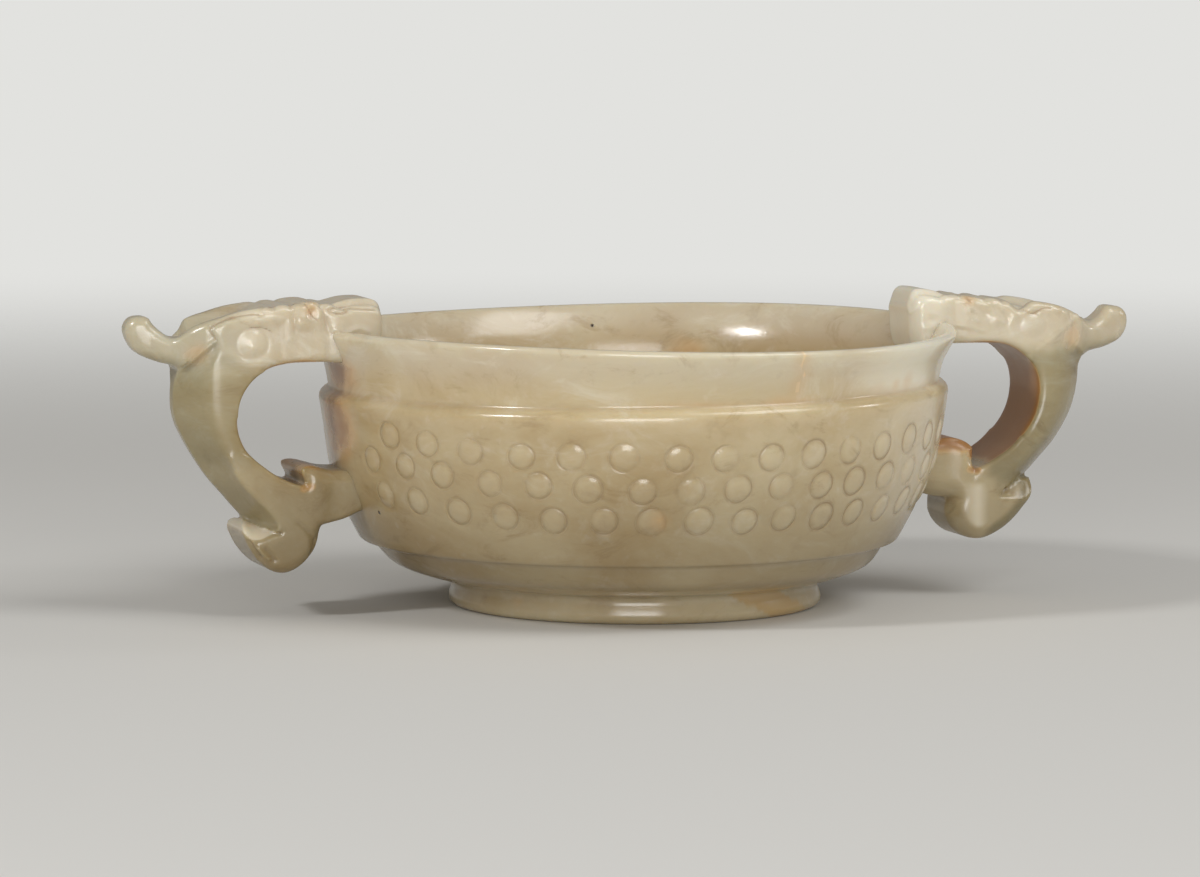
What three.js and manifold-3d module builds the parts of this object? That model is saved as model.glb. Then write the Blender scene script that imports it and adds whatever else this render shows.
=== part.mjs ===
// A two-handled cup carved from pale jade: a round bowl with a flared neck on a ring foot,
// and a pair of C-shaped handles, each crowned by a dragon's head that bites the lip.
// Millimetres, +Z up, origin at the centre of the resting face; the handles lie along X.
// The stone is divided into the carver's own members where one form meets the next.
import * as THREE from "three";
import { mergeVertices } from "three/addons/utils/BufferGeometryUtils.js";
import Module from "manifold-3d";

const wasm = await Module();
wasm.setup();

// Driving dimensions.
const lipRadius = 39.0;
const lipHeight = 33.6;
const lipThickness = 1.6;
const lipWave = 0.45; // a hand-cut lip rises and falls twice on its way round
const lipWaveTurn = THREE.MathUtils.degToRad(33);
const shoulderInset = 0.8; // how far the shoulder stands inside the lip
const neckInset = 1.15; // the ledge between the shoulder and the foot of the neck
const wall = 2.6;
const footHeight = 3.6;
const footRadius = 22.6;
const footWidth = 3.8;
const handleReach = 63.6; // from the cup's axis to the tip of the horn
const headRise = 4.3; // how far the heads stand above the lip
const handleWidth = 11.6;
const bossRadius = 1.6;
const bossRise = 0.3;
const clearance = 0.3; // between a handle and the bowl that it grows from
const roundSteps = 64;

// Heights and sizes that follow from them.
const shoulderRadius = lipRadius - shoulderInset;
const shoulderHeight = lipHeight * 0.798; // the step from belly to neck
const stepHeight = lipHeight * 0.244; // the step from belly to the turned-in base
const handleTop = lipHeight + headRise;
const reach = handleReach - lipRadius;
const half = handleWidth / 2;
const bandFlank = reach * 0.126; // depth of the band's flat flanks
const bandRidge = reach * 0.15; // how far the band's outer ridge stands above its flanks

// Helpers.
const point = (x, y) => new THREE.Vector2(x, y);

function solid(geometry) {
  const bare = geometry.clone();
  bare.deleteAttribute("normal");
  bare.deleteAttribute("uv");
  const merged = mergeVertices(bare, 1e-4);
  const corners = Array.from(merged.index.array);
  const kept = [];
  for (let i = 0; i < corners.length; i += 3) {
    const [a, b, c] = corners.slice(i, i + 3);
    if (a !== b && b !== c && c !== a) kept.push(a, b, c);
  }
  return new wasm.Manifold(new wasm.Mesh({
    numProp: 3,
    vertProperties: new Float32Array(merged.attributes.position.array),
    triVerts: new Uint32Array(kept),
  }));
}

function surface(body) {
  const mesh = body.getMesh();
  const geometry = new THREE.BufferGeometry();
  geometry.setAttribute("position", new THREE.BufferAttribute(mesh.vertProperties, 3));
  geometry.setIndex(new THREE.BufferAttribute(mesh.triVerts, 1));
  geometry.computeVertexNormals();
  return geometry;
}

function turned(profile) {
  return new THREE.LatheGeometry(profile, roundSteps).rotateX(Math.PI / 2);
}

// Evenly spaced places along a smooth curve.
function smooth(steps, ...places) {
  return new THREE.SplineCurve(places).getSpacedPoints(steps);
}

// One half of a symmetric outline, completed by its mirror image across the X axis.
function mirrored(edge, turn = false) {
  const other = edge.map((place) => point(place.x, -place.y)).reverse();
  const outline = [...edge, ...other];
  return new THREE.Shape(turn ? outline.map((place) => point(place.y, place.x)) : outline);
}

// A side outline given its thickness along Y, with softened edges.
function carved(outline, thickness, soften) {
  const geometry = new THREE.ExtrudeGeometry(outline, {
    depth: thickness - 2 * soften,
    bevelEnabled: soften > 0,
    bevelThickness: soften,
    bevelSize: soften,
    bevelOffset: -soften,
    bevelSegments: 2,
    curveSegments: 6,
  });
  return geometry.translate(0, 0, soften - thickness / 2).rotateX(Math.PI / 2);
}

// A ball stretched to an egg, for what bulges from a surface or is hollowed out of it.
function egg(place, sideways, length, width, height, lean = 0) {
  const geometry = new THREE.SphereGeometry(1, 12, 6).scale(length, width, height).rotateY(lean);
  return solid(geometry.translate(place.x, sideways, place.y));
}

// The lip's gentle rise and fall, faded out down the neck.
function waved(geometry) {
  const places = geometry.attributes.position;
  for (let i = 0; i < places.count; i += 1) {
    const rise = (places.getZ(i) - shoulderHeight) / (lipHeight - shoulderHeight);
    const angle = Math.atan2(places.getY(i), places.getX(i));
    const lift = lipWave * Math.sin(2 * angle + lipWaveTurn) * THREE.MathUtils.clamp(rise, 0, 1);
    places.setZ(i, places.getZ(i) + lift);
  }
  return geometry;
}

// The bowl's outer and inner faces. Grown, they bound the space that the handles leave free.
function outerFace(growth) {
  const base = new THREE.SplineCurve([
    point(footRadius + 1.8 + growth, footHeight),
    point(lipRadius * 0.74 + growth, stepHeight * 0.634),
    point(lipRadius * 0.797 + growth, stepHeight * 0.939),
  ]);
  const belly = new THREE.SplineCurve([
    point(lipRadius * 0.842 + growth, stepHeight),
    point(lipRadius * 0.895 + growth, lipHeight * 0.363),
    point(lipRadius * 0.944 + growth, lipHeight * 0.524),
    point(shoulderRadius + growth, shoulderHeight - 0.45),
  ]);
  const neck = new THREE.SplineCurve([
    point(shoulderRadius - neckInset + growth, shoulderHeight + 0.15),
    point(shoulderRadius - neckInset * 0.56 + growth, lipHeight * 0.881),
    point(lipRadius - 0.9 + growth, lipHeight * 0.929),
    point(lipRadius + growth, lipHeight - 0.5),
  ]);
  return [
    point(0, footHeight),
    ...base.getPoints(4),
    ...belly.getPoints(6),
    ...neck.getPoints(5),
    point(lipRadius - lipThickness * 0.2 + growth, lipHeight + growth),
  ];
}

function innerFace(growth) {
  const inside = new THREE.SplineCurve([
    point(lipRadius - lipThickness - growth, lipHeight - 0.5),
    point(shoulderRadius - wall - growth, lipHeight * 0.851),
    point(lipRadius * 0.944 - wall - growth, lipHeight * 0.524),
    point(lipRadius * 0.88 - wall - growth, lipHeight * 0.369),
    point(footRadius + 1.0 - growth, footHeight + wall + 1.1),
    point(footRadius * 0.45 - growth, footHeight + wall),
  ]);
  return [
    point(lipRadius - lipThickness * 0.8 - growth, lipHeight + growth),
    ...inside.getPoints(9),
    point(0, footHeight + wall),
  ];
}

const hollowed = solid(waved(turned([...outerFace(0), ...innerFace(0)])));
const wallSpace = solid(waved(turned([...outerFace(clearance), ...innerFace(clearance)])));
const bodySpace = solid(waved(turned([...outerFace(clearance), point(0, lipHeight)])));

// A low round boss on the belly at a height and an angle round the axis in degrees.
const bellyLine = outerFace(0);
function boss(height, angle) {
  const above = bellyLine.findIndex((place) => place.y > height);
  const [low, high] = [bellyLine[above - 1], bellyLine[above]];
  const lean = Math.atan2(high.x - low.x, high.y - low.y);
  const radius = low.x + (height - low.y) * Math.tan(lean);
  const geometry = new THREE.LatheGeometry([
    point(0, -0.6),
    point(bossRadius, -0.6),
    point(bossRadius, bossRise * 0.6),
    point(0, bossRise),
  ], 8);
  geometry.rotateZ(-Math.PI / 2).rotateY(lean).translate(radius, 0, height);
  return solid(geometry.rotateZ(THREE.MathUtils.degToRad(angle)));
}

// Three rows of bosses run round the front and the back, each a third of a step further on.
// The hand-laid rows rise a little towards the handles, which they stop short of.
const bossStep = 9.15;
const handleHalf = 17;
let bowl = hollowed;
for (const face of [0, 180]) {
  for (const [row, lag] of [[0.625, 0], [0.516, 3.1], [0.4, 5.45]]) {
    for (let n = -7; n < 9; n += 1) {
      const along = (n - 0.5) * bossStep + lag;
      const angle = along - 100 + 1.3 * Math.cos(THREE.MathUtils.degToRad(3 * along + 6));
      const lift = 0.45 * (1 + Math.cos(THREE.MathUtils.degToRad(2 * angle)));
      if (angle > handleHalf - 180 && angle < -handleHalf) {
        bowl = bowl.add(boss(lipHeight * row + lift, angle + face));
      }
    }
  }
}

// The foot stands with its flat top against the flat underside of the bowl.
const foot = solid(turned([
  point(footRadius - footWidth, 0.4),
  point(footRadius - footWidth + 0.4, 0),
  point(footRadius - 0.5, 0),
  point(footRadius, 0.5),
  point(footRadius, 1.1),
  point(footRadius - 0.6, 2.4),
  point(footRadius - 0.3, footHeight),
  point(footRadius - footWidth, footHeight),
  point(footRadius - footWidth, 0.4),
]));

// Places on a handle, seen from the side: outward from the lip and down from the handle's top.
const at = (out, down) => point(lipRadius + out * reach, handleTop * (1 - down));
const seam = handleTop * 0.763; // flat joint between a head and its band
const belowSeam = solid(new THREE.BoxGeometry(4 * handleReach, 60, 100).translate(0, 0, seam - 50));

// The dragon's head, from the muzzle that laps over the lip to the horn that curls up behind.
const headSide = solid(carved(new THREE.Shape([
  ...smooth(6, at(-0.2, 0.205), at(-0.245, 0.175), at(-0.262, 0.1), at(-0.25, 0.035), at(-0.2, 0.008)),
  ...smooth(5, at(-0.17, 0.004), at(-0.1, 0.006), at(-0.02, 0.024)),
  ...smooth(14, at(0.02, 0.02), at(0.08, 0.011), at(0.3, 0.02), at(0.45, 0.033), at(0.6, 0.06), at(0.71, 0.095)),
  ...smooth(4, at(0.745, 0.104), at(0.79, 0.1), at(0.835, 0.068)),
  ...smooth(10, at(0.865, 0.05), at(0.95, 0.055), at(1.0, 0.105), at(0.95, 0.155), at(0.85, 0.19), at(0.74, 0.21)),
  at(0.735, 0.3),
  at(0.36, 0.3),
  ...smooth(5, at(0.36, 0.232), at(0.3, 0.21), at(0.2, 0.202), at(0.05, 0.2)),
]), handleWidth, 0.7));
const headPlan = [
  ...smooth(8, at(-0.33, 0), at(0, 0), at(0.3, 0), at(0.55, 0)).map((place, i) =>
    point(place.x, half * (0.88 + 0.12 * Math.sin((i / 8) * Math.PI * 0.6)))),
  point(at(0.64, 0).x, half * 0.86),
  point(at(0.75, 0).x, half * 0.66),
  point(at(0.9, 0).x, half * 0.48),
  point(at(1.03, 0).x, half * 0.42),
];
const headTop = solid(new THREE.ExtrudeGeometry(mirrored(headPlan), { depth: 2 * handleTop, bevelEnabled: false }));
let head = headSide.intersect(headTop).subtract(belowSeam);

// Behind the cheek the head thins to the band's roof, under an edge that slants up from the horn.
const ridgeX = at(0.735, 0).x;
const cheekX = at(0.563, 0).x;
const underEdge = solid(carved(new THREE.Shape([
  at(0.563, 0.122),
  at(0.72, 0.213),
  at(0.8, 0.26),
  at(0.8, 0.4),
  at(0.563, 0.4),
]), handleWidth + 4, 0));
for (const side of [1, -1]) {
  const beside = solid(new THREE.ExtrudeGeometry(new THREE.Shape([
    point(cheekX, side * half),
    point(ridgeX, side * 0.9),
    point(ridgeX + 4, side * 0.9),
    point(ridgeX + 4, side * (half + 1)),
    point(cheekX, side * (half + 1)),
  ]), { depth: 2 * handleTop, bevelEnabled: false }));
  head = head.subtract(beside.intersect(underEdge));

  // An eye under a long lid, and the strip along the muzzle's ridge, set off by a step.
  head = head.add(egg(at(0.382, 0.136), side * half * 0.93, reach * 0.075, 0.9, reach * 0.068));
  head = head.add(egg(at(0.145, 0.07), side * half * 0.86, reach * 0.06, 0.8, reach * 0.05));
  const lid = new THREE.CatmullRomCurve3([
    at(0.5, 0.072), at(0.53, 0.117), at(0.488, 0.16), at(0.41, 0.188), at(0.35, 0.186),
  ].map((place) => new THREE.Vector3(place.x, side * (half - 0.25), place.y)));
  head = head.add(solid(new THREE.ExtrudeGeometry(new THREE.Shape(new THREE.Path()
    .absarc(0, 0, 0.6, 0, 2 * Math.PI).getPoints(3).slice(0, 6)), { steps: 7, bevelEnabled: false, extrudePath: lid })));
  const stepAside = new THREE.BoxGeometry(reach * 0.3, half, 1.6);
  head = head.subtract(solid(stepAside.translate(at(-0.17, 0).x, side * half * 1.12, handleTop - 0.2)));
}
const betweenEars = egg(at(0.575, 0.03), 0, reach * 0.19, half * 0.55, handleTop * 0.06, 0.2);
head = head.subtract(betweenEars).subtract(wallSpace);

// The band: a strap with a flat inner face and a roof-shaped back, swept along the finger hole.
const bandPath = new THREE.CatmullRomCurve3([
  at(0.24, 0.13), at(0.36, 0.23), at(0.435, 0.3), at(0.452, 0.37), at(0.428, 0.44), at(0.365, 0.495),
  at(0.27, 0.56), at(0.16, 0.66),
].map((place) => new THREE.Vector3(place.x, 0, place.y)));
const bandSection = mirrored([
  point(-bandFlank - bandRidge, 0.9),
  point(-bandFlank - 0.2, half - 0.3),
  point(-bandFlank + 0.3, half),
  point(-0.5, half),
  point(0, half - 0.5),
], true);
const band = solid(new THREE.ExtrudeGeometry(bandSection, {
  steps: 22,
  bevelEnabled: false,
  extrudePath: bandPath,
}));

// The stub that roots the band to the belly, with a curled spur on top of it.
const stub = solid(carved(new THREE.Shape([
  at(-0.25, 0.52),
  ...smooth(5, at(-0.06, 0.528), at(0.06, 0.513), at(0.15, 0.51), at(0.17, 0.53)),
  ...smooth(5, at(0.155, 0.56), at(0.27, 0.533), at(0.36, 0.48), at(0.42, 0.43)),
  at(0.5, 0.45),
  at(0.44, 0.655),
  at(0.2, 0.75),
  at(-0.25, 0.68),
]), handleWidth * 0.86, 0.7));

// The round scroll that the band ends in, with a hollow scooped in the tip of each side.
let scroll = solid(carved(new THREE.Shape([
  ...smooth(18, at(0.3, 0.6), at(0.39, 0.655), at(0.46, 0.69), at(0.45, 0.735), at(0.38, 0.8), at(0.28, 0.848),
    at(0.14, 0.85), at(0.03, 0.8), at(-0.005, 0.735), at(0.05, 0.66), at(0.15, 0.6)),
]), handleWidth * 0.9, 1.5));
for (const side of [1, -1]) {
  scroll = scroll.subtract(egg(at(0.4, 0.725), side * half, reach * 0.1, 1.3, reach * 0.04, -0.15));
}
const loop = band.intersect(belowSeam).add(stub).add(scroll).subtract(bodySpace);

const group = new THREE.Group();
group.name = "jade_cup";
const jade = new THREE.MeshStandardMaterial({ name: "jade", color: 0xcfc6ad, roughness: 0.3 });
function add(name, body, turn) {
  const mesh = new THREE.Mesh(surface(body), jade);
  mesh.name = name;
  mesh.rotation.z = turn;
  group.add(mesh);
}
add("bowl", bowl, 0);
add("foot_ring", foot, 0);
add("right_dragon_head", head, 0);
add("left_dragon_head", head, Math.PI);
add("right_handle_loop", loop, 0);
add("left_handle_loop", loop, Math.PI);

export default group;
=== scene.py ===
# %% [markdown]
# # A two-handled jade cup
# The real cup is carved from one piece of pale nephrite: a round bowl on a ring foot, with drilled
# bosses round its belly and two handles, each crowned by a dragon's head. This lesson dresses the
# cup's CAD frame in three pieces. The bowl is spun from its section, and its bosses are raised in
# the spun mesh. Each handle starts as a slab cut to its side outline, is thinned to its half width,
# and is then carved by moving vertices, much as the stone itself was worked.

# %% The frame and the CAD box
import math
import random

import bpy
import numpy as np
from mathutils import Matrix, Vector


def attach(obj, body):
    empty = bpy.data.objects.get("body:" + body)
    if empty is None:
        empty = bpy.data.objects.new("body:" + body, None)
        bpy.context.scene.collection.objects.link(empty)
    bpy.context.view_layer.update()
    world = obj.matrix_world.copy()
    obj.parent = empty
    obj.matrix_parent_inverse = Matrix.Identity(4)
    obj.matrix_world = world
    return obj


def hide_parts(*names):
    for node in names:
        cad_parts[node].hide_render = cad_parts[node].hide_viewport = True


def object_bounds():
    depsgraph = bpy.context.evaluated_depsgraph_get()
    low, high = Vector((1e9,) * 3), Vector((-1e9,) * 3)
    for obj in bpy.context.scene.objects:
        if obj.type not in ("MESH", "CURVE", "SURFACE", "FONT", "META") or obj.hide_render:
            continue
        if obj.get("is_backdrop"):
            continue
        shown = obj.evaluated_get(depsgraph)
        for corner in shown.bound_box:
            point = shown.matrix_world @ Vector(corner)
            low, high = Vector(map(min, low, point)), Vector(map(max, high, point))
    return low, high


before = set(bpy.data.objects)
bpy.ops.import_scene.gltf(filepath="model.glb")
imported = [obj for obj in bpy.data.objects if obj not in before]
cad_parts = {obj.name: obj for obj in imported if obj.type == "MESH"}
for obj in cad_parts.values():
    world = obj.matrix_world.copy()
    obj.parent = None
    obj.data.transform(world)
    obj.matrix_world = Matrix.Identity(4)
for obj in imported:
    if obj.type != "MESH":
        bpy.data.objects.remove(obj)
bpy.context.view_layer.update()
MM = 0.001

# %% [markdown]
# ## Working by hand, in code
# Operators act on what is selected, so each step starts with one object selected and active.
# Shapes are worked out in millimetres, as a carver would measure them, and written to the mesh in
# metres. Numbers painted on the vertices later tell the shader where the grooves and stains lie.


# %% Helpers for meshes
def only(piece):
    """Selects one piece alone and makes it active."""
    bpy.ops.object.select_all(action="DESELECT")
    piece.select_set(True)
    bpy.context.view_layer.objects.active = piece


def mode(name):
    bpy.ops.object.mode_set(mode=name)


def places(piece):
    """The vertices' places in millimetres, one row each."""
    found = np.empty(len(piece.data.vertices) * 3)
    piece.data.vertices.foreach_get("co", found)
    return found.reshape(-1, 3) / MM


def place(piece, points):
    piece.data.vertices.foreach_set("co", (np.asarray(points) * MM).ravel())
    piece.data.update()


def paint(piece, name, values):
    """Keeps one number for each vertex, which a shader can read by its name."""
    layer = piece.data.attributes.new(name, "FLOAT", "POINT")
    layer.data.foreach_set("value", np.asarray(values, dtype=np.float32))


print("CAD nodes to dress:", len(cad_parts))

# %% [markdown]
# ## Curves and soft steps
# A carved form is described by a few measured places with a smooth curve through them, and by
# steps and swellings that start and end softly.


# %% Helpers for shapes
def curve(points, count):
    """Evenly timed places on a smooth curve through the points."""
    p = np.asarray(points, float)
    ends = np.vstack([p[:1], p, p[-1:]])
    t = np.linspace(0, len(p) - 1, count)
    i = np.minimum(t.astype(int), len(p) - 2)
    w = (t - i)[:, None]
    a, b, c, d = ends[i], ends[i + 1], ends[i + 2], ends[i + 3]
    v0, v1 = (c - a) / 2, (d - b) / 2
    return (2 * b - 2 * c + v0 + v1) * w**3 + (-3 * b + 3 * c - 2 * v0 - v1) * w**2 + v0 * w + b


def swell(distance, radius):
    """1 at the middle, falling smoothly to 0 at the radius."""
    return np.clip(1 - (np.asarray(distance) / radius) ** 2, 0, None) ** 2


def table(value, *pairs):
    """Reads a value off straight lines between pairs of numbers."""
    return np.interp(value, [p[0] for p in pairs], [p[1] for p in pairs])


def ramp(value, low, high):
    """Rises smoothly from 0 at low to 1 at high, or falls where low is the larger."""
    t = np.clip((np.asarray(value) - low) / (high - low), 0, 1)
    return t * t * (3 - 2 * t)


print("a quarter of the way up a ramp:", float(ramp(0.25, 0, 1)))

# %% [markdown]
# ## The camera
# The photo looks down on the cup by about five and a half degrees, a little round to the left of
# square on, so the left handle comes forward and the right one goes back. The lens is long.

# %% Camera
AROUND, ABOVE, TILT = (math.radians(angle) for angle in (16.5, 5.45, -0.2))
AWAY = 700 * MM
IMAGE_WIDTH, FOCAL_PIXELS, SENSOR = 1200, 5790, 36
aim = Vector((-4.0, 0, 19.9)) * MM
eye = Vector((aim.x, -AWAY * math.cos(ABOVE), aim.z + AWAY * math.sin(ABOVE)))
ahead = Vector((0, math.cos(ABOVE), -math.sin(ABOVE)))
turn = Matrix.Rotation(-AROUND, 3, "Z")
tilt = Matrix.Rotation(TILT, 3, ahead)
rightward = tilt @ Vector((1, 0, 0))
upward = tilt @ Vector((0, math.sin(ABOVE), math.cos(ABOVE)))
looking = Matrix((rightward, upward, -ahead)).transposed()

lens = bpy.data.cameras.new("camera")
lens.sensor_width = SENSOR
lens.lens = SENSOR * FOCAL_PIXELS / IMAGE_WIDTH
lens.clip_start, lens.clip_end = 0.05, 20
camera = bpy.data.objects.new("camera", lens)
bpy.context.collection.objects.link(camera)
camera.matrix_world = Matrix.Translation(turn @ eye) @ (turn @ looking).to_4x4()
bpy.context.scene.camera = camera
print("lens mm:", round(lens.lens, 1))

# %% [markdown]
# ## The bowl's section
# The bowl looks turned but was cut by hand: a ring foot, a base that turns in, a small step, the
# belly, the shoulder's ledge and the flared neck. Half of its section is drawn once, from the middle
# of the underside round the lip to the middle of the floor.

# %% Section
LIP_R, LIP_Z, LIP_THICK = 39.0, 33.6, 1.6
SHOULDER_R, SHOULDER_Z = 38.0, 26.8
STEP_Z, FOOT_R, FOOT_Z, WALL = 8.2, 22.6, 3.6, 2.6

underside = [(0, FOOT_Z), (FOOT_R - 4.6, FOOT_Z)]
foot_inside = [(FOOT_R - 3.8, FOOT_Z - 0.8), (FOOT_R - 3.7, 0.5), (FOOT_R - 3.2, 0.02)]
foot_outside = [(FOOT_R - 0.7, 0.02), (FOOT_R - 0.1, 0.5), (FOOT_R - 0.05, 1.3), (FOOT_R - 0.6, 2.6),
                (FOOT_R - 0.3, FOOT_Z - 0.1)]
base = curve([(FOOT_R + 1.7, FOOT_Z), (LIP_R * 0.736, STEP_Z - 3.0), (LIP_R * 0.791, STEP_Z - 0.5)], 14)
belly = curve([(LIP_R * 0.834, STEP_Z), (LIP_R * 0.887, STEP_Z + 4.0), (LIP_R * 0.939, STEP_Z + 9.4),
               (SHOULDER_R, SHOULDER_Z - 0.95)], 40)
ledge = [(SHOULDER_R - 0.22, SHOULDER_Z - 0.45), (SHOULDER_R - 0.55, SHOULDER_Z - 0.1)]
neck = curve([(SHOULDER_R - 1.2, SHOULDER_Z + 0.12), (SHOULDER_R - 0.65, SHOULDER_Z + 2.8),
              (LIP_R - 0.9, LIP_Z - 2.4), (LIP_R, LIP_Z - 0.5)], 20)
lip = [(LIP_R - LIP_THICK * 0.2, LIP_Z), (LIP_R - LIP_THICK * 0.8, LIP_Z)]
hollow = curve([(LIP_R - LIP_THICK, LIP_Z - 0.5), (SHOULDER_R - WALL, LIP_Z - 5),
                (LIP_R * 0.944 - WALL, STEP_Z + 9.4), (LIP_R * 0.88 - WALL, STEP_Z + 4.2),
                (FOOT_R + 1, FOOT_Z + WALL + 1.1), (FOOT_R * 0.45, FOOT_Z + WALL), (0, FOOT_Z + WALL)], 60)
drawn = np.vstack([np.asarray(part, float) for part in
                   (underside, foot_inside, foot_outside, base, belly, ledge, neck, lip, hollow)])
print("drawn places:", len(drawn))

# %% [markdown]
# ## Softening the section
# Polish rounds every corner a little. The line is walked in fine steps and each place is averaged
# with its neighbours. Then it is cut into rows of vertices, packed closer where the line bends and
# where the bosses will stand.


# %% Polished corners
def walked(line):
    """How far along the line each of its places lies."""
    return np.concatenate([[0], np.cumsum(np.linalg.norm(np.diff(line, axis=0), axis=1))])


def sampled(line, lengths, even):
    return np.column_stack([np.interp(even, lengths, line[:, k]) for k in (0, 1)])


def softened(line, step, spread):
    """The line at even steps, with its corners rounded over about the spread."""
    length = walked(line)
    even = np.linspace(0, length[-1], int(length[-1] / step))
    dense = sampled(line, length, even)
    reach = int(3 * spread / step)
    weights = np.exp(-0.5 * (np.arange(-reach, reach + 1) * step / spread) ** 2)
    padded = np.vstack([2 * dense[0] - dense[reach:0:-1], dense, 2 * dense[-1] - dense[-2:-reach - 2:-1]])
    return np.column_stack([np.convolve(padded[:, k], weights / weights.sum(), "valid") for k in (0, 1)])


FINE_STEP, POLISH = 0.05, 0.22
smooth_line = softened(drawn, FINE_STEP, POLISH)
print("fine steps along the section:", len(smooth_line))

# %% Rows of the section
line_r, line_z = smooth_line.T
heading = np.unwrap(np.arctan2(*np.gradient(smooth_line, axis=0).T[::-1]))
bending = np.abs(np.gradient(heading)) / FINE_STEP
outer = np.arange(len(smooth_line)) < np.argmax(line_z)
studded = outer & (line_z > 11.2) & (line_z < 24.2) & (line_r > 33)
density = 0.6 + 2.5 * studded + np.clip(bending * 2.4, 0, 3.4)
density = np.convolve(density, np.ones(15) / 15, "same")
total = np.cumsum(density) * FINE_STEP
rows = int(total[-1])
section = sampled(smooth_line, total, np.linspace(total[0], total[-1], rows))
section[0], section[-1] = (0, FOOT_Z), (0, FOOT_Z + WALL)
print("rows in the section:", rows)

# %% [markdown]
# ## Spinning the bowl
# A circle's vertices are laid along the section, and the edge that would close it is deleted. One
# turn of a Screw modifier then makes the whole body, inside and out, with no seam to hide. The ends
# on the axis merge to a pole, and the normals are turned outward once that is done.

# %% The section as a mesh
ROUND = 640
bpy.ops.object.select_all(action="DESELECT")
bpy.ops.mesh.primitive_circle_add(vertices=rows, fill_type="NOTHING")
bowl = bpy.context.object
bowl.name = bowl.data.name = "cup_body"
place(bowl, np.column_stack([section[:, 0], np.zeros(rows), section[:, 1]]))
mode("EDIT")
bpy.ops.mesh.select_all(action="DESELECT")
mode("OBJECT")
for edge in bowl.data.edges:
    edge.select = set(edge.vertices) == {0, rows - 1}
mode("EDIT")
bpy.ops.mesh.select_mode(type="EDGE")
bpy.ops.mesh.delete(type="EDGE")
bpy.ops.mesh.select_mode(type="VERT")
mode("OBJECT")
print("edges in the section:", len(bowl.data.edges))

# %% Spin
MERGE = 1e-6
lathe = bowl.modifiers.new("lathe", "SCREW")
lathe.steps = lathe.render_steps = ROUND
lathe.use_merge_vertices, lathe.merge_threshold = True, MERGE
bpy.ops.object.modifier_apply(modifier=lathe.name)
only(bowl)
mode("EDIT")
bpy.ops.mesh.select_all(action="SELECT")
bpy.ops.mesh.remove_doubles(threshold=MERGE)
bpy.ops.mesh.normals_make_consistent(inside=False)
mode("OBJECT")
print("body faces:", len(bowl.data.polygons))

# %% [markdown]
# ## Bosses
# Each boss was cut with a tube drill, which leaves a fine ring, and the stone inside the ring was
# then rounded over. Three rows run round the belly between the handles, each row starting a third
# of a step further round. The rows were laid by eye: they rise a little towards the handles, and no
# two bosses are quite alike.

# %% Boss places
STEP_AROUND = 9.15
BOSS_SIZE = 1.64
boss_rows = [(21.0, 0.0), (17.35, 3.1), (13.45, 5.45)]
rng = random.Random(11)
bosses = []
for half_turn in (0, 180):
    for height, lag in boss_rows:
        for n in range(-7, 9):
            along = -100.0 + n * STEP_AROUND + lag
            angle = along + 1.3 * math.cos(math.radians(3 * (along + 102)))
            if not -163.5 < angle < -17:
                continue
            lift = 0.45 * (1 + math.cos(math.radians(2 * angle))) + 1.1 * float(ramp(angle, -134.0, -160.0))
            bosses.append((angle + half_turn + rng.uniform(-0.35, 0.35),
                           height + lift + rng.uniform(-0.18, 0.18),
                           BOSS_SIZE + rng.uniform(-0.08, 0.08)))
print("bosses:", len(bosses))


# %% [markdown]
# ## Raising the bosses
# The spun mesh is fine enough to carry the bosses itself, so no piece is stuck on. Each vertex of
# the belly is pushed out by the dome of the boss it lies in and drawn in where a ring was drilled.
# How far each vertex lies from its boss, in boss sizes, is painted for the shader.

# %% Bosses on the belly
BOSS_RISE, RING_DEPTH, RING_WIDTH = 0.19, 0.085, 0.13


def polar(points):
    """Each point's angle round the axis in degrees, and its distance from the axis."""
    x, y, _ = points.T
    return np.degrees(np.arctan2(y, x)), np.hypot(x, y)


def turn_between(angles, angle):
    """How far round the angles lie from one angle, from -180 to 180 degrees."""
    return (angles - angle + 180) % 360 - 180


points = places(bowl)
around, radius = polar(points)
x, z = points[:, 0], points[:, 2]
within = table(z, (8.2, 32.8), (12.2, 34.9), (17.6, 36.8), (26.0, 38.2)) - 1.2
face = (radius > 33) & (z > 10) & (z < 25.4) & (radius > within)
ring = np.full(len(points), 9.0)
raised = np.zeros(len(points))
where = np.flatnonzero(face)
for angle, height, size in bosses:
    near = where[(np.abs(turn_between(around[where], angle)) < 6) & (np.abs(z[where] - height) < 3)]
    gap = np.radians(turn_between(around[near], angle)) * radius[near]
    far = np.hypot(gap, (z[near] - height) * 1.02)
    scaled = far / size
    closer = scaled < ring[near]
    ring[near[closer]] = scaled[closer]
    dome = BOSS_RISE * np.clip(1 - (far / (size * 0.87)) ** 2, 0, None) ** 0.6
    raised[near] = np.maximum(raised[near], dome)
raised -= RING_DEPTH * np.exp(-((ring - 1.0) / RING_WIDTH) ** 2)
paint(bowl, "ring", ring)
print(f"raised by up to {raised.max():.2f} mm")

# %% [markdown]
# ## The wander of the hand
# No line on a hand-cut cup is quite true. The belly swells and sinks by a twentieth of a millimetre,
# the foot stands a little to one side, and the lip and the shoulder's ledge rise and fall on the way
# round. Here x and z are views of the points, so adding to them moves the points.

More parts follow.
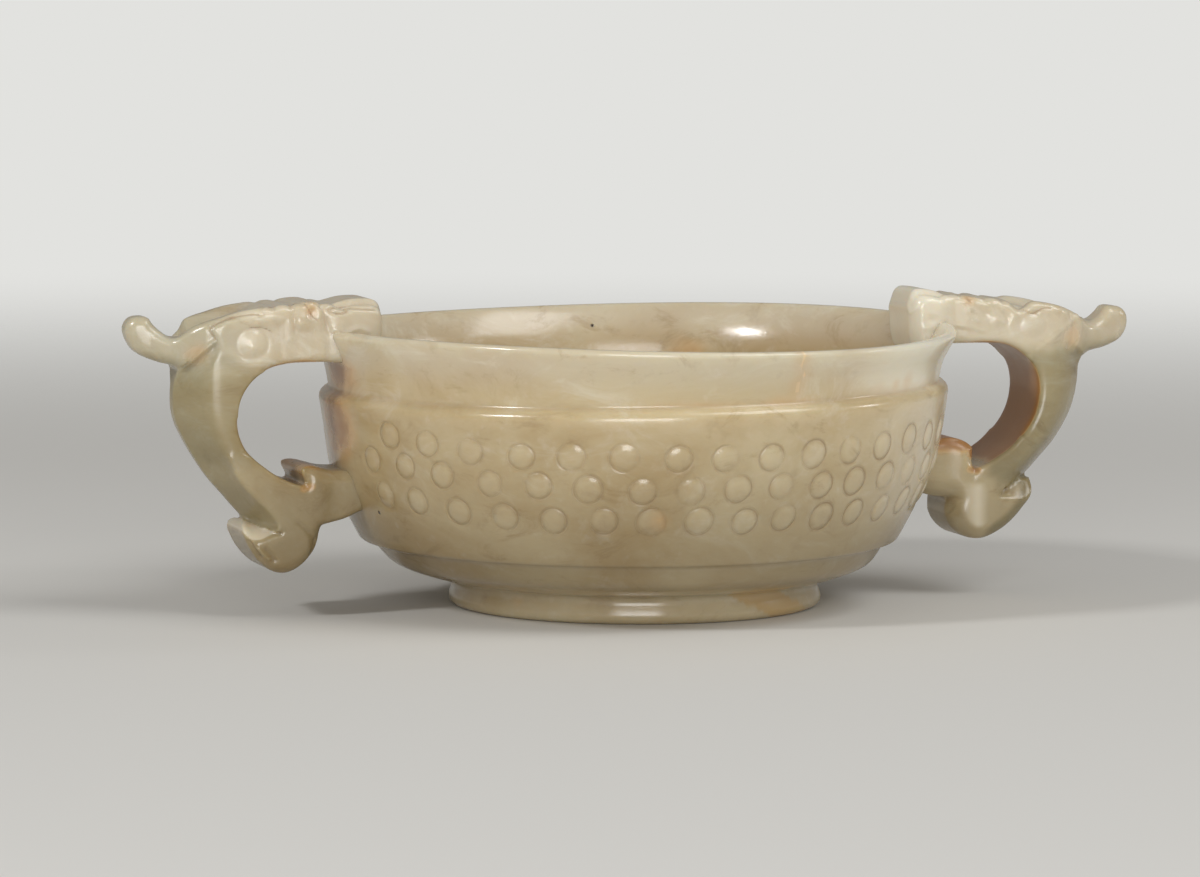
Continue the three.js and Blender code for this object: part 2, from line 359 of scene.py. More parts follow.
# %% Wander
out = points[:, :2] / np.maximum(radius, 1e-6)[:, None]
wave = 0.05 * np.sin(np.radians(around) * 5 + 0.7) * ramp(radius, 20, 34) * np.sin(z * 0.23)
points[:, :2] += out * (raised + wave * face)[:, None]
sideways = table(z, (0, 0.3), (3.6, 0.2), (6.0, -0.3), (8.0, -0.55), (13.0, -0.5), (22.0, 0.0))
x += sideways * ramp(radius, 12, 22)
rise = np.clip((z - SHOULDER_Z) / (LIP_Z - SHOULDER_Z), 0, 1)
z += 0.45 * np.sin(np.radians(2 * around + 33)) * rise
at_ledge = table(z, (19.0, 0), (25.5, 1), (27.5, 1), (31.5, 0)) * ramp(radius, 30, 34)
z += 0.55 * x / 38 * at_ledge
place(bowl, points)
only(bowl)
bpy.ops.object.shade_smooth()
print(f"top of the lip at {z.max():.2f} mm")

# %% [markdown]
# ## Handles
# Each handle is one slab of stone cut to its side outline. The outline is drawn as runs of smooth
# curve that meet at corners, in millimetres outward from the cup's axis and upward from the floor.
# The runs go under the muzzle, up its face, over its corner, along the crown, round the horn, down
# the band's back, round the scroll, under the stub, up its root in the bowl, along its top, round
# the spur and round the finger hole. Both handles were cut by hand, so each has its own outline.

# %% The left outline
CORNER, CROWN, BACK = 2, 3, 5
left_runs = [
    [(39.0, 30.3), (37.0, 30.1), (34.8, 29.9), (33.2, 30.4)],
    [(33.2, 30.4), (32.5, 32.4), (32.3, 34.5), (32.3, 35.8), (32.45, 36.7)],
    [(32.45, 36.7), (32.8, 37.3), (33.7, 37.65), (35.0, 37.7), (36.2, 37.6), (37.3, 37.35), (38.4, 37.05)],
    [(38.4, 37.05), (39.3, 37.25), (40.5, 37.45), (41.8, 37.45), (43.0, 37.3), (46.0, 37.05), (49.0, 36.65),
     (50.7, 36.25), (52.0, 35.85), (53.9, 35.3), (55.4, 34.7), (56.5, 34.2), (57.4, 33.95), (58.2, 34.05),
     (58.9, 34.4), (59.5, 35.0), (59.85, 35.6)],
    [(59.85, 35.6), (60.4, 35.85), (61.2, 35.85), (61.9, 35.7), (62.5, 35.1), (62.75, 34.3), (62.5, 33.3),
     (61.9, 32.2), (61.0, 31.4), (59.9, 30.85), (58.6, 30.4), (57.5, 30.15), (56.6, 29.75)],
    [(56.6, 29.75), (56.85, 28.2), (57.0, 26.2), (56.9, 24.5), (56.5, 23.0), (55.9, 21.7), (54.9, 19.85),
     (53.7, 17.95), (52.5, 16.3), (50.9, 14.5), (49.7, 13.1), (48.7, 12.0), (48.35, 11.4)],
    [(48.35, 11.4), (48.9, 11.4), (49.3, 11.0), (49.35, 10.3), (48.95, 9.2), (48.3, 8.0), (47.4, 6.85),
     (46.2, 5.85), (44.9, 5.42), (43.75, 5.55), (42.6, 6.15), (41.65, 7.0), (40.85, 8.0), (40.4, 9.1),
     (40.2, 10.1), (39.95, 11.0)],
    [(39.95, 11.0), (38.6, 11.3), (36.9, 11.75), (35.3, 12.45), (33.2, 13.2)],
    [(33.2, 13.2), (33.9, 15.2), (34.6, 17.35)],
    [(34.6, 17.35), (37.2, 17.35), (38.6, 17.45), (40.0, 17.8), (41.2, 18.1), (41.95, 18.1)],
    [(41.95, 18.1), (42.45, 17.8), (42.45, 17.3), (42.1, 16.6), (41.9, 15.7)],
    [(41.9, 15.7), (43.0, 16.0), (44.2, 16.45), (45.4, 17.05), (46.6, 17.85), (48.6, 19.55), (49.75, 21.6),
     (50.1, 23.8), (49.75, 26.15), (48.45, 28.2), (46.5, 29.6), (44.2, 30.2), (42.0, 30.35), (39.0, 30.3)],
]
print("left outline:", len(left_runs), "runs")

# %% The right outline
right_runs = [
    [(39.0, 31.0), (37.2, 30.2), (35.8, 29.9), (34.5, 30.4)],
    [(34.5, 30.4), (34.0, 32.4), (33.9, 34.6), (33.8, 35.6), (34.05, 36.4)],
    [(34.05, 36.4), (34.3, 37.1), (34.9, 37.65), (36.0, 37.65), (37.4, 37.4), (38.6, 36.9)],
    [(38.6, 36.9), (40.1, 37.0), (41.7, 36.7), (43.9, 36.55), (46.5, 36.2), (48.3, 35.95), (49.4, 36.1),
     (51.8, 35.75), (53.6, 35.25), (55.4, 34.5), (56.8, 34.0), (57.5, 33.6), (58.3, 33.3), (59.1, 33.55),
     (59.9, 34.3), (60.3, 34.85)],
    [(60.3, 34.85), (60.8, 35.1), (61.6, 35.05), (62.5, 34.85), (63.15, 34.3), (63.42, 33.6), (63.4, 32.7),
     (63.05, 31.7), (62.2, 30.8), (60.3, 30.0), (58.2, 29.55), (56.95, 28.9)],
    [(56.95, 29.0), (56.85, 28.2), (57.0, 26.8), (56.8, 25.0), (56.3, 23.0), (55.45, 21.05), (53.9, 18.6),
     (52.2, 16.7), (50.8, 15.2), (49.8, 14.25)],
    [(49.8, 14.25), (49.75, 13.7), (49.65, 12.9), (49.3, 12.0), (48.8, 11.1), (47.9, 9.95), (46.7, 8.8),
     (45.3, 7.85), (43.5, 7.1), (41.8, 7.1), (40.5, 7.75), (39.5, 8.8), (38.95, 10.1), (38.95, 11.3),
     (39.1, 12.1)],
    [(39.1, 12.1), (37.4, 12.3), (35.6, 12.8), (33.3, 13.8)],
    [(33.3, 13.8), (34.0, 16.0), (34.8, 18.5)],
    [(34.8, 18.5), (37.3, 19.2), (38.8, 19.5), (40.1, 19.35), (41.2, 18.9), (41.9, 18.3)],
    [(41.9, 18.3), (41.85, 17.4), (41.8, 16.5), (42.0, 15.6)],
    [(42.0, 15.6), (43.4, 16.2), (45.4, 17.4), (46.9, 18.5), (48.2, 19.95), (49.4, 21.75), (50.1, 23.8),
     (50.2, 26.1), (49.6, 28.1), (48.1, 29.7), (46.0, 30.8), (43.0, 31.05), (39.0, 31.0)],
]
print("right outline:", len(right_runs), "runs")

# %% [markdown]
# ## Lines on the side faces
# A few lines inside the outline steer the cutting. The bevel is where the flat side meets the roof
# of the band's back, and the diagonal is the cheek's lower edge, which ends that roof. The tip and
# the scoop bound the hollow under the scroll's tip. The left handle was cut crisper than the right.

# %% Guide lines
left_lines = {
    "runs": left_runs,
    "bevel": curve([(52.76, 33.31), (52.5, 32.4), (52.6, 31.6), (52.9, 30.6), (53.05, 29.0), (53.0, 26.4),
                    (52.95, 24.2), (52.55, 22.4), (51.9, 20.7), (51.0, 18.95), (50.1, 16.75), (48.3, 14.7),
                    (46.6, 13.1), (45.55, 11.8), (45.3, 10.8), (45.9, 10.2)], 60),
    "diagonal": [(51.5, 34.48), (62.0, 24.74)],
    "tip": [(44.9, 10.25), (45.8, 10.5), (47.0, 10.85), (48.35, 11.4), (49.5, 11.9), (52.0, 12.5)],
    "scoop": curve([(49.9, 11.6), (49.75, 10.9), (49.45, 10.2), (48.9, 9.55), (48.15, 9.3), (47.25, 9.4),
                    (46.5, 9.7), (45.1, 10.2)], 30),
    "crisp": 1.0,
}
right_lines = {
    "runs": right_runs,
    "bevel": curve([(52.4, 32.9), (51.9, 31.9), (51.8, 31.0), (51.9, 30.0), (52.0, 28.4), (51.9, 26.4),
                    (51.7, 24.2), (51.2, 22.0), (50.3, 20.2), (49.2, 18.6), (47.9, 17.1), (46.4, 15.7),
                    (45.0, 14.6), (44.4, 13.4), (44.6, 12.4), (45.6, 11.9)], 60),
    "diagonal": [(51.5, 33.68), (62.0, 24.65)],
    "tip": [(45.2, 12.3), (46.1, 13.1), (47.0, 13.8), (48.1, 14.2), (49.8, 14.3), (51.0, 14.8),
            (53.0, 15.5)],
    "scoop": curve([(50.6, 13.6), (49.6, 12.6), (48.3, 11.9), (47.2, 11.9), (46.2, 12.0),
                    (45.2, 12.3)], 30),
    "crisp": 0.2,
}


def joined(runs, step=0.2):
    """One closed line through the runs, each sampled evenly."""
    parts = []
    for run in runs:
        fine = curve(run, 40 * len(run))
        length = walked(fine)
        even = np.linspace(0, length[-1], max(3, int(length[-1] / step)))[:-1]
        parts.append(sampled(fine, length, even))
    return np.vstack(parts)


def away(points, line, signed=False, loop=False):
    """Each point's distance from a line. Signed, it is positive on the left of the line's heading."""
    line = np.asarray(line, float)
    if loop:
        line = np.vstack([line, line[:1]])
    best = np.full(len(points), 1e9)
    sign = np.ones(len(points))
    for a, b in zip(line[:-1], line[1:]):
        along = b - a
        t = np.clip((points - a) @ along / (along @ along + 1e-12), 0, 1)
        off = points - a - t[:, None] * along
        gap = np.einsum("ij,ij->i", off, off)
        closer = gap < best
        best[closer] = gap[closer]
        if signed:
            sign[closer] = np.sign(along[0] * off[closer, 1] - along[1] * off[closer, 0] + 1e-12)
    return np.sqrt(best) * sign


print("places round the left handle:", len(joined(left_runs)))

# %% [markdown]
# ## Half widths
# Seen from the front the handle is thick and flat-sided, with a roof along the band's back and an
# oval horn. So each place in the side view has one half width, worked out in turn from the flat
# sides, the roof, the scroll's hollow and the polished edges.

# %% Flat sides and roof
HALF = 5.8


def flat_sides(u, z, over):
    """Half width of the head and horn above, and of the loop below."""
    head = table(u, (32.4, 4.9), (34, 5.1), (38, 5.1), (39.2, 4.95), (41, 5.3), (45, 5.45), (48, HALF),
                 (53, HALF), (55.5, 4.6), (57.5, 3.3), (60, 2.3), (62.7, 1.7))
    loop = HALF - 0.5 * ramp(u, 41.0, 38.0) * ramp(z, 10.5, 12.5)
    wide = np.where((z < 29.5) & (u < 54), loop, head)
    return np.where((u > 52) & (z < 33) & (over < 0), HALF, wide)


def roof(z, from_ridge, from_bevel, over, crisp):
    """Half width of the band's back, which falls from the bevel to the ridge like a roof."""
    share = from_ridge / (from_ridge + np.abs(from_bevel) + 1e-6)
    fade = 0.7 + 0.3 * ramp(-over, 0.0, 1.6)
    softer = (1 - crisp) + 0.45 * crisp * ramp(z, 17.0, 25.0)
    fall = 0.3 * crisp * ramp(z, 24.0, 17.0) + 4.9 * fade * (1 - share) ** (1 + softer)
    return HALF - fall * ramp(from_bevel, 0.0, 0.35)


print("half width at the left eye:", float(flat_sides(np.array([48.4]), 32.75, 1.0)[0]))

# %% Polished edges
def polished(u, z, edge, wide, from_bevel, crisp):
    """What the polish takes off within a short spread of the outline, by place."""
    spread = np.full(len(u), 0.9)
    cut = np.full(len(u), 0.9)
    horn = ramp(u, 54.8, 57.8) * (z > 28.8)
    muzzle = ramp(u, 36.5, 34.0) * (z > 29.5)
    scroll = ramp(z, 12.2, 10.6)
    for form, wider, deeper in ((horn, 0.4, 0.6 * wide - 0.9),
                                (muzzle, 1.5 - 1.4 * crisp, 1.1 - 0.9 * crisp),
                                (scroll, 1.0 - 0.4 * crisp, 0.7 - 0.2 * crisp)):
        spread, cut = spread + form * wider, cut + form * deeper
    round_hole = (z < 29.5) & (z > 15.5) & (from_bevel < 0) & (u > 42)
    spread, cut = np.where(round_hole, 0.45, spread), np.where(round_hole, 0.45, cut)
    stub_top = ramp(z, 15.8, 16.8) * ramp(z, 19.6, 19.2) * ramp(u, 42.4, 41.2)
    spread, cut = spread + 0.9 * stub_top, cut + 0.6 * stub_top
    lean = np.clip(1 - edge / spread, 0, 1)
    return cut * (1 - np.sqrt(1 - lean**2 * 0.98))


# %% Half width
def half_width(points, outline, lines):
    """The handle's half width at places in its side view."""
    u, z = points.T
    crisp = lines["crisp"]
    over = away(points, lines["diagonal"], signed=True)
    from_ridge = away(points, curve(lines["runs"][BACK], 60))
    from_bevel = away(points, lines["bevel"], signed=True)
    below = np.interp(u, *np.transpose(lines["tip"])) - z
    facet = (from_bevel > 0) & (over < 0.05) & (below < 0)
    wide = np.where(facet, roof(z, from_ridge, from_bevel, over, crisp), flat_sides(u, z, over))
    from_scoop = -away(points, lines["scoop"], signed=True)
    in_scoop = (from_scoop > 0) & (below > 0) & (z < 15)
    scoop = (1.5 + 1.1 * crisp) * in_scoop * from_scoop / (from_scoop + below + 1e-6)
    edge = away(points, outline, loop=True)
    rounding = polished(u, z, edge, wide, from_bevel, crisp)
    wide = np.where(facet, wide, np.maximum(wide - rounding - scoop, 0.35))
    stub_foot = ramp(z, 16.5, 13.5) * ramp(u, 43.0, 40.5) * (1 - crisp)
    return wide - stub_foot * 1.6 * np.clip(1 - edge / 2.6, 0, 1) ** 2


# %% [markdown]
# ## Cutting the slab
# A circle primitive takes the outline, is filled and is extruded to the full width. A voxel remesh
# gives the slab an even skin, and every point is drawn in towards the middle plane by its half
# width. A second, finer remesh evens out the slopes that this stretched, and a smoothing near the
# bevel takes off the hard line that polish wore away.

# %% Slab
ROUGH_VOXEL, FINE_VOXEL = 0.26, 0.22


def slab(name, outline):
    bpy.ops.object.select_all(action="DESELECT")
    bpy.ops.mesh.primitive_circle_add(vertices=len(outline), fill_type="NGON")
    piece = bpy.context.object
    piece.name = piece.data.name = name
    place(piece, np.column_stack([outline[:, 0], np.full(len(outline), -HALF), outline[:, 1]]))
    mode("EDIT")
    bpy.ops.mesh.select_all(action="SELECT")
    bpy.ops.mesh.extrude_region_move(TRANSFORM_OT_translate={"value": (0, 2 * HALF * MM, 0)})
    bpy.ops.mesh.select_all(action="SELECT")
    bpy.ops.mesh.normals_make_consistent(inside=False)
    mode("OBJECT")
    return piece


def smoothed(piece, rounds, group=""):
    polish = piece.modifiers.new("polish", "SMOOTH")
    polish.factor, polish.iterations, polish.vertex_group = 0.5, rounds, group
    bpy.ops.object.modifier_apply(modifier=polish.name)


def skin(piece, voxel, rounds):
    only(piece)
    piece.data.remesh_voxel_size = voxel * MM
    bpy.ops.object.voxel_remesh()
    smoothed(piece, rounds)


# %% Both handles
def cut_slab(name, lines):
    outline = joined(lines["runs"])
    piece = slab(name, outline)
    skin(piece, ROUGH_VOXEL, 2)
    points = places(piece)
    points[:, 1] *= half_width(points[:, [0, 2]], outline, lines) / HALF
    place(piece, points)
    skin(piece, FINE_VOXEL, 4)
    points = places(piece)
    worn = (away(points[:, [0, 2]], lines["bevel"]) < 2.8) & (points[:, 2] > 19.5) & (points[:, 2] < 33)
    group = piece.vertex_groups.new(name="worn")
    group.add(np.flatnonzero(worn).tolist(), 1.0, "REPLACE")
    smoothed(piece, 120, group.name)
    piece.vertex_groups.clear()
    print(name, "faces:", len(piece.data.polygons))
    return piece


left = cut_slab("left_handle", left_lines)
right = cut_slab("right_handle", right_lines)

# %% [markdown]
# ## Carving
# A stroke moves the skin along its normals near a line on the side faces or over the top: in for a
# groove, out for a ridge. Domes, rings and ledges do the same round a centre or beside a line. The
# strokes add up and are cut all at once, so their order doesn't matter. A finely engraved one also
# leaves its distance for the shader, which paints shade into it.


# %% Carving tools
class Carver:
    """Adds up strokes on a handle, mostly on both side faces alike."""

    def __init__(self, piece):
        found = np.empty(len(piece.data.vertices) * 3)
        piece.data.vertex_normals.foreach_get("vector", found)
        self.piece, self.points, self.normals = piece, places(piece), found.reshape(-1, 3)
        self.side_view = self.points[:, [0, 2]]
        self.facing = ramp(self.normals[:, 1] * np.sign(self.points[:, 1]), 0.1, 0.55)
        self.on_top = ramp(self.normals[:, 2], 0.1, 0.6) * (self.points[:, 2] > 33)
        self.move = np.zeros(len(self.points))
        self.fine = np.full(len(self.points), 5.0)

    def groove(self, gap, depth, width, engraved):
        self.move += depth * np.exp(-((gap / width) ** 2)) * self.facing
        if engraved:
            self.fine = np.where(self.facing > 0.2, np.minimum(self.fine, gap), self.fine)

    def line(self, through, depth, width, engraved=False):
        gap = away(self.side_view, curve(through, 24))
        self.groove(gap, depth, width, engraved)

    def ledge(self, through, depth, width, reach):
        """Raises the left side of a line by the depth, fading out at the reach."""
        gap = away(self.side_view, curve(through, 24), signed=True)
        self.move += depth * ramp(gap, -width, width) * ramp(np.abs(gap), reach, reach * 0.3) * self.facing

    def dome(self, centre, radii, height, lean=0.0):
        off = self.side_view - centre
        c, s = math.cos(lean), math.sin(lean)
        off = np.column_stack([off[:, 0] * c + off[:, 1] * s, off[:, 1] * c - off[:, 0] * s]) / radii
        self.move += height * swell(np.hypot(*off.T), 1.0) * self.facing

    def ring(self, centre, radii, depth, width, engraved=False):
        off = (self.side_view - centre) / radii
        gap = np.abs(np.hypot(*off.T) - 1) * min(radii)
        self.groove(gap, depth, width, engraved)

    def wedge(self, upper, lower, depth, width):
        """Cuts a step that deepens from where two lines meet, between the first and the second."""
        below = away(self.side_view, curve(upper, 16), signed=True)
        above = away(self.side_view, curve(lower, 16), signed=True)
        self.move -= depth * np.clip(np.minimum(below, -above) / width, 0, 1) * self.facing

    def across(self, at_sides, in_middle, depth, width):
        """A stroke over the top, bowed from one side to the other."""
        gap = away(self.points[:, [0, 1]], curve([(at_sides, -5), (in_middle, 0), (at_sides, 5)], 24))
        self.move += depth * np.exp(-((gap / width) ** 2)) * self.on_top

    def cut(self):
        place(self.piece, self.points + self.normals * self.move[:, None])
        paint(self.piece, "engraved", self.fine)
        print(f"{self.piece.name} moved by {self.move.min():.2f} to {self.move.max():.2f} mm")


# %% [markdown]
# ## Tops of the heads
# From above each head has a valley between its brows, a nose that narrows from the muzzle, and a
# small difference of its own. The top is lowered before the strokes are cut.

# %% Shaping the tops
def between_brows(u, v, *depths):
    """The valley along the crown, and how the nose's top falls off to its sides."""
    nose_sides = 0.7 * ramp(np.abs(v), 3.0, 3.9) * ramp(u, 38.6, 37.4)
    return table(u, *depths) * ramp(np.abs(v), 4.1, 1.8) + nose_sides


def left_fall(u, v):
    free_tip = 0.9 * ramp(u, 54.4, 55.4) * ramp(u, 57.5, 56.0) * ramp(v, -1.0, -3.0)
    valley = between_brows(u, v, (46.5, 0), (49.5, 1.0), (53.0, 1.7), (56.0, 1.1), (58.5, 0.1), (59, 0))
    return valley + free_tip


def right_fall(u, v):
    dip = 0.9 * np.exp(-(((u - 48.9 - 0.25 * v) / 1.1) ** 2)) * ramp(v, 0.5, -2.5)
    valley = between_brows(u, v, (46.5, 0), (49.5, 0.9), (53.0, 1.3), (55.0, 0.7), (57.0, 0.1), (59, 0))
    return valley + dip


for piece, lines, fall in ((left, left_lines, left_fall), (right, right_lines, right_fall)):
    points = places(piece)
    u, v, z = points.T
    crown = np.vstack([curve(lines["runs"][k], 60) for k in (CORNER, CROWN)])
    top = np.interp(u, *crown.T)
    lowered = fall(u, v) * ramp(z, top - 2.6, top - 0.4) * (z > 32)
    z -= lowered
    place(piece, points)
    print(f"{piece.name} top lowered by up to {lowered.max():.2f} mm")

# %% [markdown]
# ## The left head and scroll
# The near head is the crisper one. Its strokes are, in order: the brow and cheek, the eye in its
# socket, the jaw, the nose and its wrinkles, the nostril, mouth and whiskers, and then the scroll's
# folds with the step beside the stub.

# %% Carving the left handle
carve = Carver(left)
carve.line([(53.4, 34.85), (52.3, 35.45), (51.0, 35.95), (49.6, 36.2), (48.4, 36.25), (47.6, 36.1)],
           -0.22, 0.28, engraved=True)
carve.ledge([(47.1, 35.9), (46.3, 35.95), (45.3, 35.95)], 0.2, 0.25, 1.2)
carve.line([(53.4, 34.85), (53.55, 34.4), (53.2, 33.85), (52.7, 33.2)], -0.1, 0.3, engraved=True)
carve.line([(56.4, 29.6), (54.9, 31.35), (52.85, 33.2)], 0.22, 0.22)
carve.line([(55.9, 29.5), (54.6, 31.0), (53.1, 32.4)], -0.16, 0.3)
carve.ledge([(52.75, 33.2), (52.5, 32.4), (52.6, 31.7), (52.95, 31.0)], -0.16, 0.35, 1.4)
carve.line([(51.6, 35.1), (52.1, 34.25), (52.15, 33.45), (51.8, 32.55), (51.0, 31.75), (50.05, 30.9),
            (48.95, 30.4), (47.8, 30.3)], 0.13, 0.45)
carve.dome((48.6, 33.0), (3.6, 3.0), -0.42, lean=-0.3)
carve.dome((48.4, 32.75), (2.1, 2.0), 0.62)
carve.ring((48.45, 32.75), (1.9, 1.75), -0.07, 0.26)
carve.dome((48.35, 32.3), (0.75, 0.6), 0.1)
carve.line([(48.6, 34.6), (47.1, 34.55), (46.0, 34.05)], -0.12, 0.28, engraved=True)
carve.line([(51.6, 30.9), (50.2, 30.0), (49.3, 29.3), (48.2, 28.7)], -0.12, 0.4)
carve.line([(45.5, 35.4), (45.35, 33.6), (44.9, 31.3)], -0.1, 0.5)
carve.dome((42.5, 35.2), (1.7, 1.5), 0.4)
carve.line([(44.0, 35.4), (43.9, 34.4), (43.75, 33.2)], 0.14, 0.4)
carve.line([(43.2, 36.6), (43.35, 35.6), (43.2, 34.4)], -0.2, 0.25)
carve.dome((41.0, 36.4), (0.9, 1.5), -0.3, lean=0.45)
carve.line([(41.9, 37.3), (41.5, 36.6), (41.1, 35.9), (40.55, 35.35)], -0.14, 0.2, engraved=True)
carve.line([(41.1, 37.3), (40.5, 36.8), (40.1, 36.05), (40.5, 35.4)], 0.12, 0.22)
carve.line([(39.7, 36.9), (39.5, 35.6), (39.0, 33.9)], -0.28, 0.35)
carve.line([(40.8, 34.3), (40.85, 32.5), (40.8, 31.0)], -0.05, 0.4)
carve.ring((38.0, 36.45), (1.0, 0.42), -0.16, 0.16, engraved=True)
carve.line([(38.1, 36.9), (36.8, 36.75), (35.1, 36.6), (33.4, 36.5)], -0.12, 0.2, engraved=True)
carve.line([(36.9, 33.75), (35.4, 34.3), (34.3, 33.9)], 0.16, 0.25)
carve.line([(39.1, 34.0), (38.2, 34.2), (37.2, 33.7)], 0.14, 0.3)
carve.line([(49.9, 10.5), (49.3, 9.5), (48.7, 8.5), (48.05, 7.5)], 0.3, 0.22)
carve.line([(48.9, 9.2), (48.35, 8.3), (47.7, 7.4)], -0.45, 0.32)
carve.line([(47.8, 8.6), (47.1, 7.85), (46.5, 7.3)], 0.28, 0.24)
carve.line([(46.9, 8.4), (46.3, 7.7), (45.8, 7.1)], -0.22, 0.3)
carve.wedge([(44.3, 12.65), (42.65, 11.6), (41.1, 10.7), (38.5, 9.6)],
            [(44.3, 12.65), (43.26, 11.47), (42.35, 10.4), (41.8, 9.35), (41.6, 8.0)], 0.6, 1.6)
carve.across(43.6, 43.2, -0.22, 0.45)
carve.across(45.9, 45.3, -0.2, 0.5)
carve.across(39.9, 39.6, -0.2, 0.4)
carve.cut()

# %% [markdown]
# ## The right head and scroll
# The far head is softer and more worn: wrinkles over the nose, the brow, a shallow eye, the folds
# behind the cheek, the mouth's two lines and the muzzle's creases, and a low step on the scroll.

# %% Carving the right handle
carve = Carver(right)
carve.line([(40.0, 36.7), (41.0, 35.9), (41.4, 34.7), (42.2, 33.9)], 0.14, 0.35)
carve.line([(41.3, 36.5), (42.3, 35.5), (43.2, 34.6)], -0.24, 0.5)
carve.line([(42.9, 36.6), (43.9, 35.3), (44.6, 34.4), (45.4, 33.7)], 0.14, 0.4)
carve.line([(44.4, 36.0), (45.2, 35.0), (46.0, 34.0)], -0.12, 0.4)
carve.dome((44.6, 33.6), (1.2, 0.9), 0.14)
carve.line([(46.9, 35.7), (47.8, 35.3), (48.9, 34.6), (49.6, 34.7)], -0.15, 0.32, engraved=True)
carve.line([(49.6, 34.7), (50.6, 35.2), (51.6, 35.3)], -0.12, 0.3, engraved=True)
carve.dome((48.9, 33.0), (2.9, 2.2), -0.19)
carve.dome((49.2, 33.1), (1.9, 1.6), 0.31)
carve.ring((49.2, 33.1), (1.7, 1.5), -0.04, 0.26)
carve.line([(46.8, 34.3), (46.4, 33.2), (46.9, 32.0)], 0.09, 0.35)
carve.line([(55.4, 34.0), (53.6, 32.85), (52.0, 31.7), (50.0, 30.2)], 0.12, 0.32)
carve.line([(55.3, 33.0), (53.8, 31.9), (52.0, 30.7)], -0.11, 0.45)
carve.line([(54.4, 34.3), (55.0, 32.9), (54.6, 31.2), (54.2, 30.2)], -0.17, 0.34)
carve.line([(55.4, 34.1), (56.0, 32.8), (55.6, 31.2), (55.0, 29.9)], 0.15, 0.38)
carve.line([(39.4, 33.35), (41.2, 33.1), (43.0, 32.6)], 0.12, 0.3)
carve.line([(39.4, 32.8), (41.2, 32.6), (43.0, 32.2)], -0.07, 0.3)
carve.line([(35.6, 33.0), (36.6, 33.3), (37.7, 33.8)], 0.1, 0.4)
carve.line([(36.3, 34.8), (37.4, 34.5), (38.9, 33.8)], 0.08, 0.4)
carve.line([(36.2, 34.1), (37.2, 34.1), (38.4, 33.8)], -0.14, 0.5)
carve.ledge([(39.9, 11.8), (40.3, 12.7), (40.8, 13.9), (41.15, 14.9), (41.5, 16.2)], -0.18, 2.2, 9.0)
carve.across(43.2, 42.2, -0.25, 0.45)
carve.across(45.6, 44.8, -0.22, 0.5)
carve.across(40.2, 39.6, -0.2, 0.4)
carve.cut()

# %% Setting the handles in place
place(left, places(left) * (-1, -1, 1))
for piece in (left, right):
    only(piece)
    bpy.ops.object.shade_smooth()
    print(f"{piece.name} reaches {np.abs(places(piece)[:, 0]).max():.2f} mm")

# %% [markdown]
# ## Marks in the stone, and painted light and shade
# The stone has its own marks: rust under the handles and low on the neck, an amber band that crosses
# the foot, a healed crack in the neck and residue in the drilled rings. Under the handles the brown
# is partly rust and partly painted shadow of the handles. All are painted on the mesh as numbers, so
# the shader can break up their edges. Painted light and shade go on as numbers too: above 0 the stone
# is painted paler, as where more light falls, and below 0 greyer, as where shade falls.

# %% Rust on the bowl, with painted shadow under the handles
points = places(bowl)
around, radius = polar(points)
height = points[:, 2]


def blot(angle, middle, wide, high):
    """A soft spot on the bowl, its half sizes in millimetres."""
    gap = np.radians(turn_between(around, angle)) * radius
    return swell(np.hypot(gap / wide, (height - middle) / high), 1.0)


rust_and_shade = np.zeros(len(points))
# The four large blots at -176 and 0 to 3 degrees lie under the handles. There the brown is partly rust and
# partly painted shadow of the handles.
for angle, middle, wide, high, depth in (
        (-46.5, 28.6, 2.6, 2.2, 0.42), (-50.5, 28.3, 2.2, 1.5, 0.36), (-56.0, 28.2, 2.6, 1.3, 0.3),
        (-176.0, 29.0, 9.0, 3.2, 0.75), (3.0, 29.0, 8.0, 3.0, 0.6), (-176.0, 22.5, 9.5, 7.5, 0.7),
        (0.0, 23.0, 8.5, 6.5, 0.55), (-101.9, 13.6, 2.6, 2.6, 0.35), (-78.0, 27.6, 9.0, 1.4, 0.35),
        (-96.0, 27.5, 22.0, 1.2, 0.3), (-145.0, 2.2, 2.4, 1.6, 0.3), (62.0, 28.3, 5.0, 2.0, 0.5),
        (118.0, 12.0, 7.0, 3.0, 0.3)):
    rust_and_shade = np.maximum(rust_and_shade, depth * blot(angle, middle, wide, high))
paint(bowl, "rust_and_shade", rust_and_shade)
print(f"rust up to {rust_and_shade.max():.2f}")

# %% Amber, crack and residue
slant = around + 5.5 * height
foot_side = (height < 4.2) & (radius > 21)
amber = ramp(slant, -59.0, -57.8) * ramp(slant, -37.5, -38.6) * foot_side
amber = np.maximum(amber, 0.75 * ramp(slant, 118.0, 119.0) * ramp(slant, 133.0, 131.5) * foot_side)
paint(bowl, "amber", amber)
crack_line = -76.2 + 0.55 * np.sin(height * 1.3) + 0.35 * np.sin(height * 3.1 + 1)
below_neck = 3.0 * ramp(height, 28.0, 26.6) + 9.0 * (height < 26.6)
crack = np.abs(np.radians(around - crack_line) * radius) + below_neck
paint(bowl, "crack", np.minimum(crack, 3.0))
near_side = 0.22 * ramp(around, -100, -60) * ramp(around, -10, -30)
residue = 0.22 + near_side + 0.9 * blot(-101.9, 13.6, 3.2, 3.2) + 0.2 * ramp(around, 20, 90)
paint(bowl, "residue", residue)
print("vertices in the amber bands:", int((amber > 0.5).sum()))

# %% Painted light and shade on the bowl
# Painted light: the neck and the belly are made paler on the right, where more light falls, and the foot is
# made paler, lifting the shade it stands in.
light_and_shade = 0.8 * ramp(around, -78, -45) * ramp(around, -2, -14) * ramp(height, 26.4, 28.4)
light_and_shade += 0.42 * ramp(around, -72, -35) * ramp(height, 9.0, 14.0) * ramp(height, 27.0, 26.0)
light_and_shade += 0.2 * ramp(height, 4.6, 3.4)
paint(bowl, "light_and_shade", light_and_shade)
print(f"share of the bowl that is paler: {(light_and_shade > 0.2).mean():.2f}")
